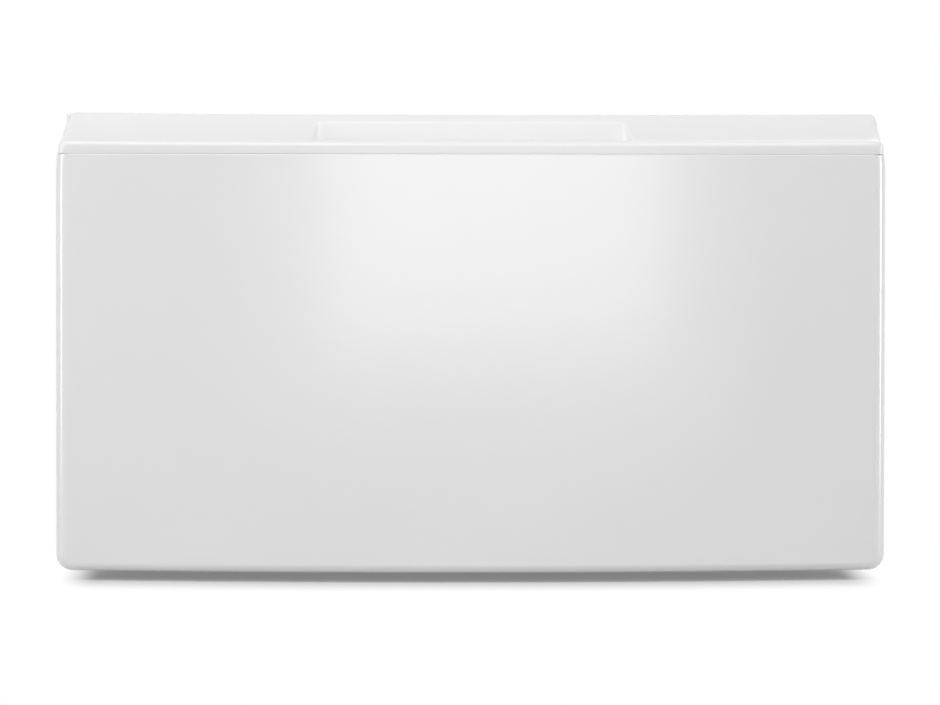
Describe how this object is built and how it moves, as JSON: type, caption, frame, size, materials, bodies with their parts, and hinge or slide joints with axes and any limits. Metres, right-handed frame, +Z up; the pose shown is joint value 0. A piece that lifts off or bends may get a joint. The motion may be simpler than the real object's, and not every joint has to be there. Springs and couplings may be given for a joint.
{
  "type": "washer pedestal drawer",
  "caption": "Laundry pedestal with a deep drawer on ball-bearing slides behind a bowed white front with a pocket handle; levelling feet below, washer bolt holes on top.",
  "frame": {"origin": "on the floor, under the centre of the overall bounding box", "axes": "+Z up, the drawer front faces -Y and opens towards -Y, +X is to the right of someone facing it"},
  "size_m": [0.686, 0.648, 0.386],
  "materials": {
    "white_enamel": "gloss",
    "white_moulding": "gloss",
    "white_steel": "satin",
    "galvanised_steel": "satin",
    "zinc_steel": "satin",
    "bright_steel": "polished",
    "screw_steel": "satin",
    "black_plastic": "satin",
    "white_plastic": "satin",
    "black_rubber": "matte",
    "grey_rubber": "matte"
  },
  "bodies": {
    "cabinet": {"side_panel_left": "white_enamel", "side_panel_right": "white_enamel", "back_panel": "galvanised_steel", "top_front_rail": "galvanised_steel", "top_rear_rail": "galvanised_steel", "bottom_front_rail": "galvanised_steel", "bottom_rear_rail": "galvanised_steel", "slide_support_left": "galvanised_steel", "slide_support_right": "galvanised_steel", "mount_plate_front_left": "galvanised_steel", "mount_plate_front_right": "galvanised_steel", "mount_plate_rear_left": "galvanised_steel", "mount_plate_rear_right": "galvanised_steel", "foot_plate_front_left": "galvanised_steel", "foot_plate_front_right": "galvanised_steel", "foot_plate_rear_left": "galvanised_steel", "foot_plate_rear_right": "galvanised_steel", "weld_nuts": "zinc_steel", "lock_nuts": "zinc_steel", "back_screws": "screw_steel", "outer_member_left": "zinc_steel", "outer_member_right": "zinc_steel", "support_screws": "screw_steel"},
    "drawer": {"front_panel": "white_enamel", "handle_cap": "white_moulding", "inner_panel": "white_steel", "box_side_left": "white_steel", "box_side_right": "white_steel", "box_back": "white_steel", "box_bottom": "white_steel", "guides_left": "white_plastic", "guides_right": "white_plastic", "inner_member_left": "zinc_steel", "inner_member_right": "zinc_steel", "lever_pins": "zinc_steel", "member_screws": "screw_steel", "front_screws": "screw_steel", "box_rivets": "screw_steel", "cap_screws": "screw_steel", "bumpers": "grey_rubber"},
    "divider": {"divider": "white_steel"},
    "slide_middle_left": {"middle_member_left": "zinc_steel"},
    "outer_retainer_left": {"outer_cage_left": "bright_steel"},
    "inner_retainer_left": {"inner_cage_left": "bright_steel"},
    "lever_left": {"release_lever_left": "black_plastic"},
    "slide_middle_right": {"middle_member_right": "zinc_steel"},
    "outer_retainer_right": {"outer_cage_right": "bright_steel"},
    "inner_retainer_right": {"inner_cage_right": "bright_steel"},
    "lever_right": {"release_lever_right": "black_plastic"},
    "pad_front_left": {"foot_pad_front_left": "black_rubber"},
    "stud_front_left": {"foot_stud_front_left": "zinc_steel"},
    "pad_front_right": {"foot_pad_front_right": "black_rubber"},
    "stud_front_right": {"foot_stud_front_right": "zinc_steel"},
    "pad_rear_left": {"foot_pad_rear_left": "black_rubber"},
    "stud_rear_left": {"foot_stud_rear_left": "zinc_steel"},
    "pad_rear_right": {"foot_pad_rear_right": "black_rubber"},
    "stud_rear_right": {"foot_stud_rear_right": "zinc_steel"}
  },
  "joints": [
    {"name": "drawer_slide", "type": "slide", "parent": "cabinet", "child": "drawer", "axis": [0, -1, 0], "range_m": [0, 0.43]},
    {"name": "slide_middle_left_slide", "type": "slide", "parent": "cabinet", "child": "slide_middle_left", "axis": [0, -1, 0], "range_m": [0, 0.216]},
    {"name": "outer_retainer_left_slide", "type": "slide", "parent": "cabinet", "child": "outer_retainer_left", "axis": [0, -1, 0], "range_m": [0, 0.1085]},
    {"name": "inner_retainer_left_slide", "type": "slide", "parent": "cabinet", "child": "inner_retainer_left", "axis": [0, -1, 0], "range_m": [0, 0.3235]},
    {"name": "slide_middle_right_slide", "type": "slide", "parent": "cabinet", "child": "slide_middle_right", "axis": [0, -1, 0], "range_m": [0, 0.216]},
    {"name": "outer_retainer_right_slide", "type": "slide", "parent": "cabinet", "child": "outer_retainer_right", "axis": [0, -1, 0], "range_m": [0, 0.1085]},
    {"name": "inner_retainer_right_slide", "type": "slide", "parent": "cabinet", "child": "inner_retainer_right", "axis": [0, -1, 0], "range_m": [0, 0.3235]},
    {"name": "lever_left_hinge", "type": "hinge", "parent": "drawer", "child": "lever_left", "pos_m": [-0.315, -0.009, 0.12], "axis": [1, 0, 0], "range_deg": [-6, 6], "stiffness_Nm_per_rad": 0.05},
    {"name": "lever_right_hinge", "type": "hinge", "parent": "drawer", "child": "lever_right", "pos_m": [0.315, -0.009, 0.12], "axis": [1, 0, 0], "range_deg": [-6, 6], "stiffness_Nm_per_rad": 0.05},
    {"name": "divider_lift", "type": "slide", "parent": "drawer", "child": "divider", "axis": [0, 0, 1], "range_m": [0, 0.18]},
    {"name": "foot_front_left_height", "type": "slide", "parent": "cabinet", "child": "pad_front_left", "axis": [0, 0, -1], "range_m": [0, 0.012]},
    {"name": "stud_front_left_turn", "type": "hinge", "parent": "pad_front_left", "child": "stud_front_left", "pos_m": [-0.3, -0.155, 0.02], "axis": [0, 0, -1], "range_deg": [0, 2890]},
    {"name": "foot_front_right_height", "type": "slide", "parent": "cabinet", "child": "pad_front_right", "axis": [0, 0, -1], "range_m": [0, 0.012]},
    {"name": "stud_front_right_turn", "type": "hinge", "parent": "pad_front_right", "child": "stud_front_right", "pos_m": [0.3, -0.155, 0.02], "axis": [0, 0, -1], "range_deg": [0, 2890]},
    {"name": "foot_rear_left_height", "type": "slide", "parent": "cabinet", "child": "pad_rear_left", "axis": [0, 0, -1], "range_m": [0, 0.012]},
    {"name": "stud_rear_left_turn", "type": "hinge", "parent": "pad_rear_left", "child": "stud_rear_left", "pos_m": [-0.3, 0.2842, 0.02], "axis": [0, 0, -1], "range_deg": [0, 2890]},
    {"name": "foot_rear_right_height", "type": "slide", "parent": "cabinet", "child": "pad_rear_right", "axis": [0, 0, -1], "range_m": [0, 0.012]},
    {"name": "stud_rear_right_turn", "type": "hinge", "parent": "pad_rear_right", "child": "stud_rear_right", "pos_m": [0.3, 0.2842, 0.02], "axis": [0, 0, -1], "range_deg": [0, 2890]}
  ],
  "couplings": [
    {"joint": "slide_middle_left_slide", "follows": "drawer_slide", "ratio": 0.5},
    {"joint": "outer_retainer_left_slide", "follows": "drawer_slide", "ratio": 0.25},
    {"joint": "inner_retainer_left_slide", "follows": "drawer_slide", "ratio": 0.75},
    {"joint": "slide_middle_right_slide", "follows": "drawer_slide", "ratio": 0.5},
    {"joint": "outer_retainer_right_slide", "follows": "drawer_slide", "ratio": 0.25},
    {"joint": "inner_retainer_right_slide", "follows": "drawer_slide", "ratio": 0.75},
    {"joint": "stud_front_left_turn", "follows": "foot_front_left_height", "rad_per_m": 4188.8},
    {"joint": "stud_front_right_turn", "follows": "foot_front_right_height", "rad_per_m": 4188.8},
    {"joint": "stud_rear_left_turn", "follows": "foot_rear_left_height", "rad_per_m": 4188.8},
    {"joint": "stud_rear_right_turn", "follows": "foot_rear_right_height", "rad_per_m": 4188.8}
  ]
}
